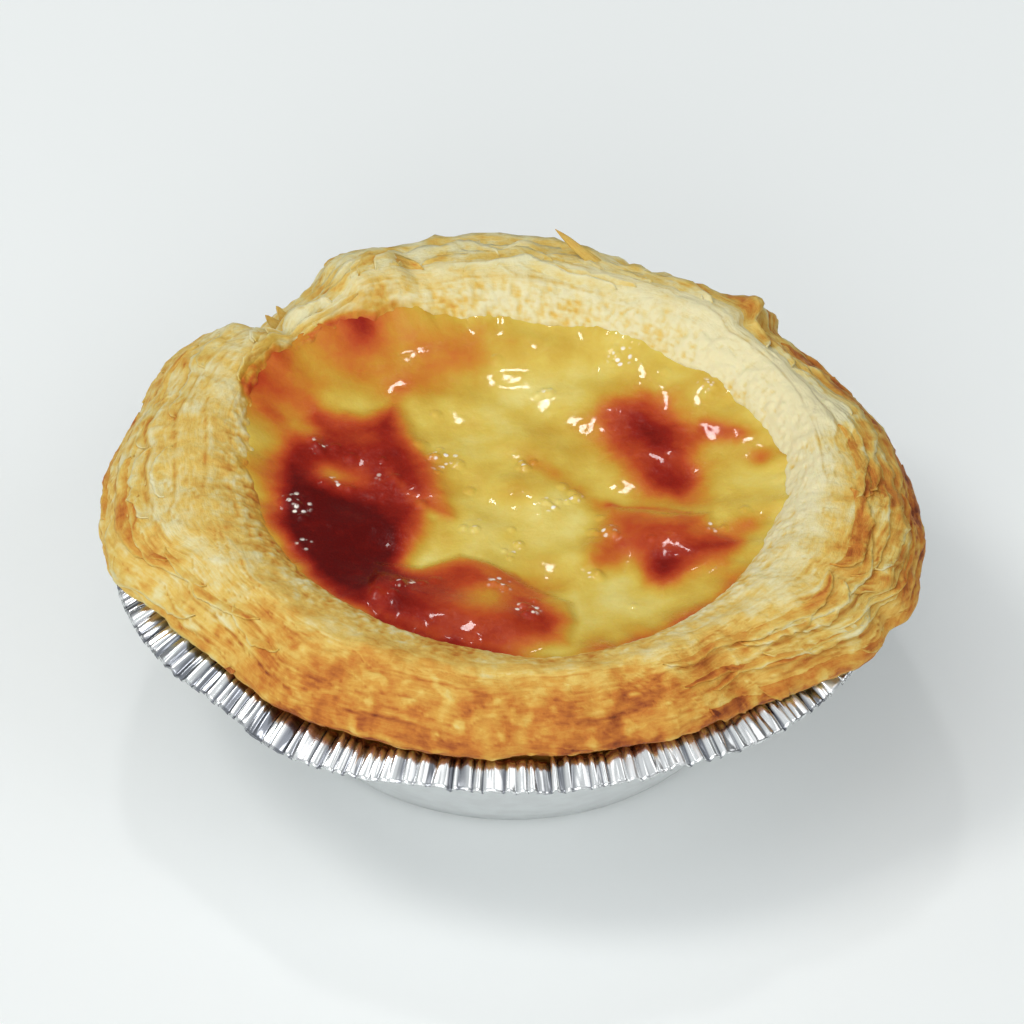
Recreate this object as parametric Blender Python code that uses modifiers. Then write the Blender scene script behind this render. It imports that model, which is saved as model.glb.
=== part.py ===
"""Portuguese custard tart in its foil tin.

A round tin of thin foil with a crimped flange, a thick rim of flaky pastry that bulges out
over the flange, and a baked custard with a blistered top, sunk a little below the rim.
Frame: metres, +Z up, origin at the centre of the tin's flat base, front of the tart at -Y.
"""

import math

import bmesh
import bpy
from mathutils import Vector, noise

# Foil tin
BASE_RADIUS = 0.0230
WALL_TOP_RADIUS = 0.0350
WALL_TOP_HEIGHT = 0.0172
FLANGE_RADIUS = 0.0397
FLANGE_HEIGHT = 0.0182
FLANGE_ARCH = 0.0010  # how far the flange arches up between its ends
FOIL_THICKNESS = 0.0004
PLEATS = 72
PLEAT_DEPTH = 0.0006

# Pastry
PASTRY_RADIUS = 0.0400
PASTRY_WIDEST_HEIGHT = 0.0226
CREST_RADIUS = 0.0316
CREST_HEIGHT = 0.0274
PASTRY_FLOOR = 0.0041
LAYER_PITCH = 0.0027
LAYER_RELIEF = 0.0003
PASTRY_STEPS = 108

# Custard
CUSTARD_RADIUS = 0.0260
CUSTARD_EDGE_HEIGHT = 0.0246
CUSTARD_SAG = 0.0013
CUSTARD_STEPS = 64
CUSTARD_RINGS = 12

GAP = 0.0003  # between neighbouring solids
MERGE = 0.00005

# Uneven places, each an azimuth in degrees (0 right, 90 back, 270 front) and a move in millimetres.
# How far the pastry's outside lies out from a true circle:
RIM_OUT = [
    (2, 0.2), (14, -0.8), (25, -2.3), (36, -2.8), (42, -1.0), (58, -1.8), (70, -1.8), (80, 0.2),
    (102, 0.2), (116, 0.1), (128, -1.9), (134, -2.2), (137.4, -3.4), (140, 0.4), (150, 1.0), (162, 0.3),
    (180, 1.2), (194, 1.5), (207, -1.8), (220, -2.5), (231, -2.1), (243, -2.4), (255, -2.3), (263, -2.0),
    (273, -2.6), (280, -2.1), (288, -2.2), (295, -1.7), (302, -2.0), (307, -2.5), (315, -1.4), (322, 0.1),
    (330, 1.8), (337, 2.4), (346, 1.8),
]
# How far its crest lies up:
CREST_UP = [
    (0, 0.2), (40, -0.3), (60, 0.2), (92, 0.4), (118, 0.5), (131, -0.5), (136, -1.3), (142, 0.1),
    (175, 0.2), (225, 0.2), (275, 0.0), (310, -0.3), (340, 0.2),
]
# How far the mouth lies out:
MOUTH_OUT = [
    (5, 1.5), (34, 0.3), (65, -0.6), (93, -0.4), (120, 1.4), (148, 2.3), (172, -0.3), (205, -1.2),
    (233, -1.9), (260, -1.2), (282, 0.4), (302, 0.4), (340, 0.4),
]
# How far the foil's flange lies out:
FLANGE_OUT = [
    (30, -0.3), (90, -0.1), (150, 0.2), (193, 0.6), (210, 0.1), (222, -1.0), (236, 0.4), (246, 0.1), (260, -0.9),
    (272, -0.9), (287, -0.7), (295, -0.9), (304, -0.4), (313, 0.2), (328, 0.2),
]
# How far it lies up:
FLANGE_UP = [
    (30, 0.1), (90, -0.2), (150, 0.0), (190, 0.3), (225, 0.7), (270, 0.8), (300, 0.7), (330, 0.3),
]

# Blisters on the custard: x, y, radius along x, radius along y and height
BLISTERS = [
    (-0.0168, -0.0050, 0.0060, 0.0062, 0.0005),
    (-0.0130, 0.0080, 0.0048, 0.0058, 0.0004),
    (-0.0070, -0.0175, 0.0078, 0.0050, 0.0007),
    (0.0015, -0.0200, 0.0060, 0.0044, 0.0005),
    (0.0140, 0.0093, 0.0048, 0.0068, 0.0006),
    (0.0156, -0.0070, 0.0072, 0.0056, 0.0006),
    (0.0007, 0.0225, 0.0070, 0.0030, 0.0004),
    (0.0015, 0.0020, 0.0034, 0.0030, 0.0003),
]


def eased(low, high, value):
    """0 below low, 1 above high, and a smooth step between them."""
    share = min(1.0, max(0.0, (value - low) / (high - low)))
    return share * share * (3 - 2 * share)


def around(azimuth, scale, seed):
    """A smooth uneven value from -1 to 1 that closes on itself round the tart."""
    return noise.noise(Vector((math.cos(azimuth) * scale, math.sin(azimuth) * scale, seed)))


def at_places(places, azimuth):
    """The move in metres at this azimuth, on a smooth closed curve that never overshoots its places."""
    degrees = math.degrees(azimuth) % 360
    before = [(place - 360, move) for place, move in places[-2:]]
    after = [(place + 360, move) for place, move in places[:2]]
    ring = before + places + after
    i = max(k for k in range(1, len(ring) - 2) if ring[k][0] <= degrees)
    slopes = [(ring[k + 1][1] - ring[k][1]) / (ring[k + 1][0] - ring[k][0]) for k in (i - 1, i, i + 1)]

    def tangent(first, second):
        return 2 * first * second / (first + second) if first * second > 0 else 0.0

    width = ring[i + 1][0] - ring[i][0]
    t = (degrees - ring[i][0]) / width
    start, end = ring[i][1], ring[i + 1][1]
    leave, arrive = tangent(*slopes[:2]) * width, tangent(*slopes[1:]) * width
    value = start + t * leave + t**2 * (3 * (end - start) - 2 * leave - arrive)
    return (value + t**3 * (leave + arrive - 2 * (end - start))) / 1000


def smooth_path(points, spacing):
    """Points about that far apart on a smooth curve through the given ones."""
    path = []
    last = len(points) - 1
    for i in range(last):
        before, start = points[max(i - 1, 0)], points[i]
        end, after = points[i + 1], points[min(i + 2, last)]
        count = max(1, round(math.dist(start, end) / spacing))
        for k in range(count):
            t = k / count
            path.append(
                tuple(
                    0.5 * (2 * b + (c - a) * t + (2 * a - 5 * b + 4 * c - d) * t**2
                           + (3 * b - 3 * c + d - a) * t**3)
                    for a, b, c, d in zip(before, start, end, after)
                )
            )
    return path + [points[last]]


def collection(name):
    made = bpy.data.collections.new(name)
    bpy.context.scene.collection.children.link(made)
    return made


def material(name, color, roughness, metallic=0.0):
    made = bpy.data.materials.new(name)
    made.use_nodes = True
    shader = made.node_tree.nodes["Principled BSDF"]
    shader.inputs["Base Color"].default_value = (*color, 1)
    shader.inputs["Roughness"].default_value = roughness
    shader.inputs["Metallic"].default_value = metallic
    return made


def turned(name, profile, steps, parts, finish):
    """A profile of (radius, height) points turned about Z, as a plain closed mesh."""
    mesh = bpy.data.meshes.new(name + "_profile")
    edges = [(i, i + 1) for i in range(len(profile) - 1)]
    mesh.from_pydata([(r, 0, z) for r, z in profile], edges, [])
    guide = bpy.data.objects.new(name + "_profile", mesh)
    parts.objects.link(guide)
    screw = guide.modifiers.new("Turn", "SCREW")
    screw.steps = screw.render_steps = steps
    screw.use_merge_vertices = True
    screw.merge_threshold = MERGE
    turned_guide = guide.evaluated_get(bpy.context.evaluated_depsgraph_get())
    solid = bpy.data.meshes.new_from_object(turned_guide)
    bpy.data.objects.remove(guide)
    bm = bmesh.new()
    bm.from_mesh(solid)
    bmesh.ops.remove_doubles(bm, verts=bm.verts, dist=MERGE)
    bmesh.ops.recalc_face_normals(bm, faces=bm.faces)
    bm.to_mesh(solid)
    bm.free()
    solid.name = name
    solid.materials.clear()
    solid.materials.append(finish)
    made = bpy.data.objects.new(name, solid)
    parts.objects.link(made)
    return made


def reshape(obj, move):
    """Moves each point, given as (azimuth, radius, height), to the (radius, height) that move returns."""
    for vertex in obj.data.vertices:
        azimuth = math.atan2(vertex.co.y, vertex.co.x)
        radius, height = move(azimuth, math.hypot(vertex.co.x, vertex.co.y), vertex.co.z)
        vertex.co = (radius * math.cos(azimuth), radius * math.sin(azimuth), height)
    obj.data.shade_smooth()
    obj.data.set_sharp_from_angle(angle=math.radians(40))


def wall_radius(height, inset=0.0):
    """The tin's outer wall, or a cone that lies inset inside it."""
    slope = (WALL_TOP_RADIUS - BASE_RADIUS) / WALL_TOP_HEIGHT
    return BASE_RADIUS + slope * height - inset * math.hypot(1, slope)


def flange_height(radius):
    share = (radius - WALL_TOP_RADIUS) / (FLANGE_RADIUS - WALL_TOP_RADIUS)
    arch = 4 * share * (1 - share) * FLANGE_ARCH
    return WALL_TOP_HEIGHT + share * (FLANGE_HEIGHT - WALL_TOP_HEIGHT) + arch


def flange_moves(azimuth, radius):
    """How far the hand-pressed flange lies out and up from a true cone at this place."""
    share = eased(WALL_TOP_RADIUS, FLANGE_RADIUS, radius)
    out = at_places(FLANGE_OUT, azimuth)
    up = at_places(FLANGE_UP, azimuth) + 0.0003 * around(azimuth, 2.3, 8.0)
    return share * out, share * up


def mouth_wave(azimuth, height):
    """The uneven outline of the mouth, which the pastry and the custard share."""
    return eased(0.0100, CUSTARD_EDGE_HEIGHT, height) * at_places(MOUTH_OUT, azimuth)


def make_tin(parts, finish):
    inner_top = wall_radius(WALL_TOP_HEIGHT, FOIL_THICKNESS)
    lift = FOIL_THICKNESS * math.hypot(1, (FLANGE_HEIGHT - WALL_TOP_HEIGHT) / (FLANGE_RADIUS - WALL_TOP_RADIUS))
    middle = (WALL_TOP_RADIUS + FLANGE_RADIUS) / 2
    profile = [
        (0, FOIL_THICKNESS),
        (wall_radius(0, FOIL_THICKNESS) - 0.0006, FOIL_THICKNESS),
        (wall_radius(0.0010, FOIL_THICKNESS), 0.0010),
        (inner_top, WALL_TOP_HEIGHT + lift / 2),
        (WALL_TOP_RADIUS + 0.0003, flange_height(WALL_TOP_RADIUS) + lift),
        (middle, flange_height(middle) + lift),
        (FLANGE_RADIUS, FLANGE_HEIGHT + lift),
        (FLANGE_RADIUS, FLANGE_HEIGHT),
        (middle, flange_height(middle)),
        (WALL_TOP_RADIUS, WALL_TOP_HEIGHT),
        (wall_radius(0.0008), 0.0008),
        (BASE_RADIUS - 0.0005, 0),
        (0, 0),
    ]
    tin = turned("foil_tin", profile, 2 * PLEATS, parts, finish)

    def crimp(azimuth, radius, height):
        out, up = flange_moves(azimuth, radius)
        share = eased(WALL_TOP_RADIUS, FLANGE_RADIUS, radius)
        uneven = 0.7 + 0.5 * around(azimuth, 6.0, 30.0)
        pleat = share * uneven * PLEAT_DEPTH / 2 * math.cos(PLEATS * azimuth)
        return radius + out, height + up + pleat

    reshape(tin, crimp)
    return tin


def pastry_profile():
    """The section of the pastry from the middle of its inside floor, over the rim, to its underside's middle."""
    clear = FOIL_THICKNESS + GAP
    on_flange = clear + 0.0002
    inside = [
        (0, PASTRY_FLOOR + 0.0005),
        (0.0100, PASTRY_FLOOR + 0.0005),
        (0.0185, PASTRY_FLOOR + 0.0008),
        (0.0222, 0.0075),
        (0.0250, 0.0150),
        (CUSTARD_RADIUS - 0.0003, 0.0205),
    ]
    rim = [
        (CUSTARD_RADIUS, CUSTARD_EDGE_HEIGHT),
        (0.0283, 0.0264),
        (CREST_RADIUS, CREST_HEIGHT),
        (0.0348, 0.0268),
        (0.0379, 0.0251),
        (PASTRY_RADIUS, PASTRY_WIDEST_HEIGHT),
        (0.0393, 0.0210),
        (0.0366, 0.0200),
    ]
    ledge = [
        (0.0369, 0.0194),
        (0.0362, flange_height(0.0362) + on_flange),
    ]
    in_tin = [
        (0.0353, flange_height(0.0353) + on_flange),
        (wall_radius(0.0164, clear), 0.0164),
        (wall_radius(0.0080, clear), 0.0080),
        (wall_radius(0.0016, clear), 0.0016),
        (wall_radius(0, clear) - 0.0014, clear),
        (0.0100, clear),
        (0, clear),
    ]
    return inside + smooth_path(rim, LAYER_PITCH / 3.2) + ledge + in_tin


def layer_relief(azimuth, turn):
    """Relief of the baked layers, which run round the rim in wandering lines, at this turn over the rim."""
    over_rim = math.pi / 2 * math.hypot(PASTRY_RADIUS - CREST_RADIUS, CREST_HEIGHT - PASTRY_WIDEST_HEIGHT)
    wander = 0.0030 * around(azimuth, 1.9, 40.0) + 0.0008 * math.sin(azimuth)
    wave = 2 * math.pi * (over_rim * turn / (math.pi / 2) + wander) / LAYER_PITCH
    strength = 0.65 + 0.5 * math.cos(azimuth) + 0.4 * around(azimuth, 3.0, 50.0)
    return LAYER_RELIEF * strength * math.sin(wave + 0.6 * math.sin(wave))


def make_pastry(parts, finish):
    pastry = turned("pastry_crust", pastry_profile(), PASTRY_STEPS, parts, finish)

    def puff(azimuth, radius, height):
        upper = eased(0.0192, 0.0212, height)
        out = eased(0.0285, 0.0375, radius) * upper * at_places(RIM_OUT, azimuth)
        up = eased(0.0262, 0.0310, radius) * eased(0.0192, 0.0250, height) * at_places(CREST_UP, azimuth)
        mouth = (1 - eased(0.0262, 0.0320, radius)) * mouth_wave(azimuth, height)
        turn = math.atan2(height - 0.0190, radius - 0.0310)
        relief = eased(0.0275, 0.0310, radius) * eased(0.0196, 0.0212, height) * layer_relief(azimuth, turn)
        flange_out, flange_up = flange_moves(azimuth, radius)
        lower = (1 - upper) * eased(WALL_TOP_RADIUS - 0.0010, WALL_TOP_RADIUS, radius)
        return (
            radius + mouth + out + lower * flange_out + relief * math.cos(turn),
            height + up + lower * flange_up + relief * math.sin(turn),
        )

    reshape(pastry, puff)
    return pastry


def make_custard(parts, finish):
    edge = CUSTARD_RADIUS - GAP
    top = [(edge * k / CUSTARD_RINGS, CUSTARD_EDGE_HEIGHT - 0.0004) for k in range(CUSTARD_RINGS)]
    side = [
        (edge, CUSTARD_EDGE_HEIGHT - 0.0004),
        (CUSTARD_RADIUS - 0.0003 - GAP, 0.0205),
        (0.0250 - GAP, 0.0152),
        (0.0222 - GAP, 0.0079),
        (0.0185 - GAP, PASTRY_FLOOR + 0.0013),
        (0, PASTRY_FLOOR + 0.0009),
    ]
    custard = turned("custard_filling", top + side, CUSTARD_STEPS, parts, finish)

    def settle(azimuth, radius, height):
        x, y = radius * math.cos(azimuth), radius * math.sin(azimuth)
        on_top = eased(0.0215, CUSTARD_EDGE_HEIGHT - 0.0005, height)
        inward = 1 - eased(0.0150, edge, radius)
        lift = -CUSTARD_SAG * inward
        lift += 0.0005 * noise.noise(Vector((x, y, 0)) * 160) * (1 - eased(0.0220, edge, radius))
        for blister_x, blister_y, wide, deep, tall in BLISTERS:
            far = ((x - blister_x) / wide) ** 2 + ((y - blister_y) / deep) ** 2
            lift += tall * math.exp(-far) * (1 - eased(0.0235, edge, radius))
        wave = mouth_wave(azimuth, height) * radius / edge
        return radius + wave, height + on_top * lift

    reshape(custard, settle)
    return custard


def main():
    for obj in list(bpy.data.objects):
        bpy.data.objects.remove(obj, do_unlink=True)
    parts = collection("custard_tart")
    foil = material("Foil", (0.80, 0.81, 0.82), 0.25, 1.0)
    crust = material("Baked pastry", (0.72, 0.46, 0.19), 0.65)
    filling = material("Baked custard", (0.78, 0.56, 0.14), 0.25)
    make_tin(parts, foil)
    make_pastry(parts, crust)
    make_custard(parts, filling)


main()
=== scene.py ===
import math

import bpy
import numpy as np
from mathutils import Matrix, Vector, noise


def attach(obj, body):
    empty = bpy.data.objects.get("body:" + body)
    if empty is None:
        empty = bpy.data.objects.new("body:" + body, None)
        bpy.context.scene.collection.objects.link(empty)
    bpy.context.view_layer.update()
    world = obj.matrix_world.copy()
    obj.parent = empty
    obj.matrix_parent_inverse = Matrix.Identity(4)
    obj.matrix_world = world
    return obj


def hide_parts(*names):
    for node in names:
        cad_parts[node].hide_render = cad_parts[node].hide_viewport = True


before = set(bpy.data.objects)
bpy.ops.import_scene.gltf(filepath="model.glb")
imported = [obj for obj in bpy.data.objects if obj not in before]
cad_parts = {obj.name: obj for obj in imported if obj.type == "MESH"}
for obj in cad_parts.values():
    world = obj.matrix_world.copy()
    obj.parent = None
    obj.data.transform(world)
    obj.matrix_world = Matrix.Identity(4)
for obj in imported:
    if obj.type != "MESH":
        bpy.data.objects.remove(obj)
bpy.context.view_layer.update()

# Lengths in the dictionaries are millimetres and angles degrees: 0 is right, 90 back and 270 front.


# small tools

def eased(low, high, value):  # 0 below low, 1 above high
    share = np.clip((value - low) / (high - low), 0, 1)
    return share * share * (3 - 2 * share)


def atPlaces(places, azimuth):  # closed curve through (azimuth, value) places that never overshoots them
    knots = np.array(places[-2:] + places + places[:2], float)
    knots[:2, 0] -= 360
    knots[-2:, 0] += 360
    place, value = knots.T
    slope = np.diff(value) / np.diff(place)
    product, total = slope[:-1] * slope[1:], slope[:-1] + slope[1:]
    tangent = np.zeros(len(place))
    tangent[1:-1] = np.where(product > 0, 2 * product / np.where(total == 0, 1, total), 0)
    degrees = np.degrees(azimuth) % 360
    i = np.searchsorted(place, degrees, side="right") - 1
    width = place[i + 1] - place[i]
    t = (degrees - place[i]) / width
    rise = value[i + 1] - value[i]
    leave, arrive = tangent[i] * width, tangent[i + 1] * width
    curve = t**2 * (3 * rise - 2 * leave - arrive) + t**3 * (leave + arrive - 2 * rise)
    return value[i] + t * leave + curve


def noiseAt(x, y, z, size, seed):  # smooth noise from -1 to 1 whose lumps are about that size
    x, y, z = np.broadcast_arrays(x, y, z)
    points = np.stack([x.ravel(), y.ravel(), z.ravel()], axis=1) / size + seed * 7.31
    return np.array([noise.noise(p) for p in points.tolist()]).reshape(x.shape)


def layeredNoise(x, y, z, layers):  # each layer has its size, amount and seed
    return sum(noiseAt(x, y, z, size, seed) * amount for size, amount, seed in layers)


def roundNoise(azimuth, scale, seed):  # noise along the rim that closes on itself
    return noiseAt(np.cos(azimuth) * scale, np.sin(azimuth) * scale, 0 * azimuth + seed, 1.0, 0)


def turned(azimuth, radius, height):  # points from their place round the middle
    return np.stack([np.cos(azimuth) * radius, np.sin(azimuth) * radius, height + 0 * azimuth], axis=-1)


def smoothPath(points, spacing):  # a curve through the points
    path = []
    for i in range(len(points) - 1):
        a, b = points[max(i - 1, 0)], points[i]
        c, d = points[i + 1], points[min(i + 2, len(points) - 1)]
        count = max(1, round(math.dist(b, c) / spacing))
        for t in np.arange(count) / count:
            path.append([0.5 * (2 * q + (r - p) * t + (2 * p - 5 * q + 4 * r - s) * t**2
                                + (3 * q - 3 * r + s - p) * t**3) for p, q, r, s in zip(a, b, c, d)])
    return np.array(path + [list(points[-1])])


def placed(name, data):
    made = bpy.data.objects.new(name, data)
    bpy.context.scene.collection.objects.link(made)
    return made


def plainMesh(name, points, faces, values=None, vectors=None):  # points in millimetres
    mesh = bpy.data.meshes.new(name)
    mesh.from_pydata((points / 1000).tolist(), [], faces)
    for given, kind, slot in ((values, "FLOAT", "value"), (vectors, "FLOAT_VECTOR", "vector")):
        for key, array in (given or {}).items():
            kept = mesh.attributes.new(key, kind, "POINT")
            kept.data.foreach_set(slot, array.ravel().astype(np.float32))
    mesh.shade_smooth()
    return placed(name, mesh)


def turnedFaces(rings, steps):  # a first and last pole, with closed rings of points between them
    ring, step = np.meshgrid(np.arange(rings - 1), np.arange(steps), indexing="ij")
    after = (step + 1) % steps
    quads = np.stack([ring * steps + step, (ring + 1) * steps + step,
                      (ring + 1) * steps + after, ring * steps + after], axis=-1).reshape(-1, 4) + 1
    last = rings * steps + 1
    faces = quads.tolist()
    for k in range(steps):
        faces.append([0, 1 + k, 1 + (k + 1) % steps])
        faces.append([last, last - steps + (k + 1) % steps, last - steps + k])
    return faces


def stripFaces(rows, across, first):  # an open strip whose points start at that number
    corner = np.arange(rows * across).reshape(rows, across) + first
    quads = np.stack([corner[:-1, :-1], corner[:-1, 1:], corner[1:, 1:], corner[1:, :-1]], axis=-1)
    return quads.reshape(-1, 4).tolist()


def sRgb(red, green, blue):  # screen values from 0 to 255 to a linear colour
    def linear(value):
        value /= 255
        return value / 12.92 if value <= 0.04045 else ((value + 0.055) / 1.055) ** 2.4
    return (linear(red), linear(green), linear(blue), 1)


class Field:  # a node socket that takes part in sums
    def __init__(self, graph, socket):
        self.graph, self.socket = graph, socket

    def maths(self, operation, *others):
        return self.graph.add("ShaderNodeMath", {"operation": operation}, dict(enumerate((self, *others))))

    def __add__(self, other):
        return self.maths("ADD", other)

    def __sub__(self, other):
        return self.maths("SUBTRACT", other)

    def __mul__(self, other):
        return self.maths("MULTIPLY", other)

    def __truediv__(self, other):
        return self.maths("DIVIDE", other)

    def __pow__(self, other):
        return self.maths("POWER", other)

    def __rsub__(self, other):
        return self.graph.add("ShaderNodeMath", {"operation": "SUBTRACT"}, {0: other, 1: self})

    __radd__, __rmul__ = __add__, __mul__

    def kept(self, low=0.0, high=1.0):
        return self.maths("MAXIMUM", low).maths("MINIMUM", high)

    def between(self, low, high):  # smooth step
        return self.graph.add("ShaderNodeMapRange", {"interpolation_type": "SMOOTHSTEP"},
                              {0: self, 1: low, 2: high, 3: 0.0, 4: 1.0})


class Graph:
    def __init__(self, tree):
        self.tree = tree

    def feed(self, socket, value):
        if isinstance(value, Field):
            self.tree.links.new(value.socket, socket)
        else:
            socket.default_value = value

    def add(self, kind, settings=None, inputs=None, output=0):
        node = self.tree.nodes.new(kind)
        for key, value in (settings or {}).items():
            if key == "stops":
                ramp = node.color_ramp
                while len(ramp.elements) < len(value):
                    ramp.elements.new(0.5)
                for element, (place, colour) in zip(ramp.elements, value):
                    element.position, element.color = place, colour
            else:
                setattr(node, key, value)
        for key, value in (inputs or {}).items():
            self.feed(node.inputs[key], value)
        return Field(self, node.outputs[output])

    def mixed(self, share, first, second):
        return self.add("ShaderNodeMix", {"data_type": "RGBA"}, {0: share, 6: first, 7: second}, 2)

    def stored(self, name, output=2):  # a value that the mesh keeps; output 1 is a vector
        return self.add("ShaderNodeAttribute", {"attribute_name": name}, output=output)

    def ramp(self, stops, place):
        return self.add("ShaderNodeValToRGB", {"stops": stops}, {0: place})

    def grained(self, where, scale, detail, rough):
        return self.add("ShaderNodeTexNoise", {},
                        {"Vector": where, "Scale": scale, "Detail": detail, "Roughness": rough})

    def speckle(self, where, size, detail, rough):  # size in millimetres
        return self.grained(where, 1000 / size, detail, rough)

    def bump(self, shader, height, distance, strength):
        wanted = {"Height": height, "Distance": distance, "Strength": strength}
        self.feed(shader.inputs["Normal"], self.add("ShaderNodeBump", {}, wanted))


def shaded(name, constants):
    made = bpy.data.materials.new(name)
    made.use_nodes = True
    shader = made.node_tree.nodes["Principled BSDF"]
    for key, value in constants.items():
        shader.inputs[key].default_value = value
    return made, Graph(made.node_tree), shader


# camera, light and floor

view = {"distance": 1200, "elevation": 41, "aimHeight": 21.08, "frameWidth": 102.8, "sensor": 36}


def placeCamera():
    data = bpy.data.cameras.new("camera")
    data.sensor_width = view["sensor"]
    data.lens = view["sensor"] * view["distance"] / view["frameWidth"]
    data.clip_start, data.clip_end = 0.01, 20
    camera = placed("camera", data)
    tilt = math.radians(view["elevation"])
    back = Vector((0, -math.cos(tilt), math.sin(tilt)))
    camera.location = Vector((0, 0, view["aimHeight"] / 1000)) + back * view["distance"] / 1000
    camera.rotation_euler = (-back).to_track_quat("-Z", "Y").to_euler()
    bpy.context.scene.camera = camera
    print("camera: lens", round(data.lens), "mm")


lamps = {  # azimuth, elevation, distance, size, power and colour
    "key": (178, 56, 900, 300, 1.8, (1, 0.985, 0.96)),
    "top": (215, 76, 1000, 700, 0.9, (1, 1, 1)),
    "front": (264, 19, 1100, 700, 3.2, (1, 1, 1)),
    "right": (340, 42, 1100, 700, 1.3, (1, 1, 1)),
    "glint": (102, 57, 900, 70, 0.45, (1, 1, 1)),
}
sky = {
    "bright": (0.75, 0.775, 0.79, 1), "dim": (0.17, 0.175, 0.18, 1), "towards": (-0.30, -0.66, 0.68),
    "dimBelow": -0.15, "brightAbove": 0.95,
}


def lightScene():
    for name, (azimuth, elevation, distance, size, power, colour) in lamps.items():
        data = bpy.data.lights.new(name, "AREA")
        data.shape, data.size = "DISK", size / 1000
        data.energy, data.color = power, colour
        made = placed(name, data)
        turn, rise = math.radians(azimuth), math.radians(elevation)
        out = Vector((math.cos(turn) * math.cos(rise), math.sin(turn) * math.cos(rise), math.sin(rise)))
        made.location = out * distance / 1000
        made.rotation_euler = out.to_track_quat("Z", "Y").to_euler()
    world = bpy.data.worlds.new("studio")
    world.use_nodes = True
    graph = Graph(world.node_tree)
    way = graph.add("ShaderNodeVectorMath", {"operation": "DOT_PRODUCT"},
                    {0: graph.add("ShaderNodeTexCoord"), 1: sky["towards"]}, 1)
    share = way.between(sky["dimBelow"], sky["brightAbove"])
    background = world.node_tree.nodes["Background"]
    graph.feed(background.inputs["Color"], graph.mixed(share, sky["dim"], sky["bright"]))
    bpy.context.scene.world = world
    bpy.context.scene.view_settings.view_transform = "Standard"
    print("lamps:", len(lamps))


floorLook = {"half": 3000, "finish": {"Base Color": sRgb(244, 247, 246), "Roughness": 0.4}}


def layFloor():
    half = floorLook["half"]
    corners = np.array([(-half, -half, 0), (half, -half, 0), (half, half, 0), (-half, half, 0)], float)
    floor = plainMesh("floor", corners, [(0, 1, 2, 3)])
    finish = shaded("pale floor", floorLook["finish"])[0]
    floor.data.materials.append(finish)
    print("floor:", half * 2 / 1000, "m wide")


# shape that the tin, the pastry and the custard share

tin = {
    "baseRadius": 22.7, "wallTopRadius": 35.0, "wallTopHeight": 17.2,
    "flangeRadius": 39.6, "flangeHeight": 17.4,
    "sheet": 0.15,  # thickness
    "droop": 1.9, "topAt": 0.24,  # how high the flange arches, and where
    "pleats": 150, "pleatDepth": 0.62, "stepsInPleat": 8, "seed": 5.0,
    "rowsInBase": 3, "rowsInWall": 10, "rowsInFlange": 14,
    "wobbles": {  # how often round the tin, seed, detail and amount
        "crowding": (7.0, 1.0, 3.0, 7.0), "jitter": (24.0, 6.0, 2.0, 9.0),  # how the crimps crowd together
        "fanning": (22.0, 9.0, 2.0, 2.6),  # how they open out towards the edge
        "doubling": (9.0, 2.0, 2.0, 4.0), "depth": (15.0, 3.0, 3.0, 1.7),  # some deep, some nearly flat
        "tilt": (30.0, 17.0, 2.0, 1.3), "arch": (36.0, 12.0, 2.0, 0.45), "crease": (16.0, 4.0, 3.0, 1.0),
        # waves for the painted shade in the hollows of the pleats and for the painted pastry reflection
        "fold": (26.0, 21.0, 2.0, 1.0), "near": (34.0, 23.0, 2.0, 1.0),
    },
    "flangeOut": [  # how far out the flange lies at each azimuth
        (30, -0.3), (90, -0.1), (150, 0.2), (193, 0.6), (210, 0.1), (222, -0.7), (236, 0.4), (246, 0.1),
        (260, -0.9), (272, -0.9), (287, -0.7), (295, -0.9), (304, -0.4), (313, 0.1), (328, 0.1),
    ],
    "flangeUp": [  # how far up
        (30, 0.1), (90, -0.2), (150, 0), (190, 0.3), (225, 0.7), (270, 0.8), (300, 0.7), (330, 0.5),
    ],
    "ledgeOut": [  # how far out the pastry on it lies
        (30, -0.4), (150, 0), (196, 0.7), (213, 0.1), (222, -0.2), (235, -0.7), (242, -1.2), (250, -0.9),
        (262, -0.5), (290, -0.5), (310, -0.5), (335, -0.2),
    ],
}

mouthOut = [  # how far the tart's opening lies outside a circle
    (5, 1.5), (34, 0.3), (65, -0.6), (93, -0.4), (120, 1.4), (148, 2.3), (172, -0.3), (205, -1.2),
    (233, -1.9), (260, -1.2), (282, 0.4), (302, 0.4), (340, 0.4),
]


def flangeMoves(azimuth, radius):
    share = eased(tin["wallTopRadius"], tin["flangeRadius"], radius)
    up = atPlaces(tin["flangeUp"], azimuth) + 0.3 * roundNoise(azimuth, 2.3, 8.0)
    return share * atPlaces(tin["flangeOut"], azimuth), eased(32.0, 37.0, radius) * up


def mouthWave(azimuth, height):
    return eased(10.0, 24.6, height) * atPlaces(mouthOut, azimuth)


# scorch: where the baked custard has browned, and how far, from 0 to 1

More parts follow.
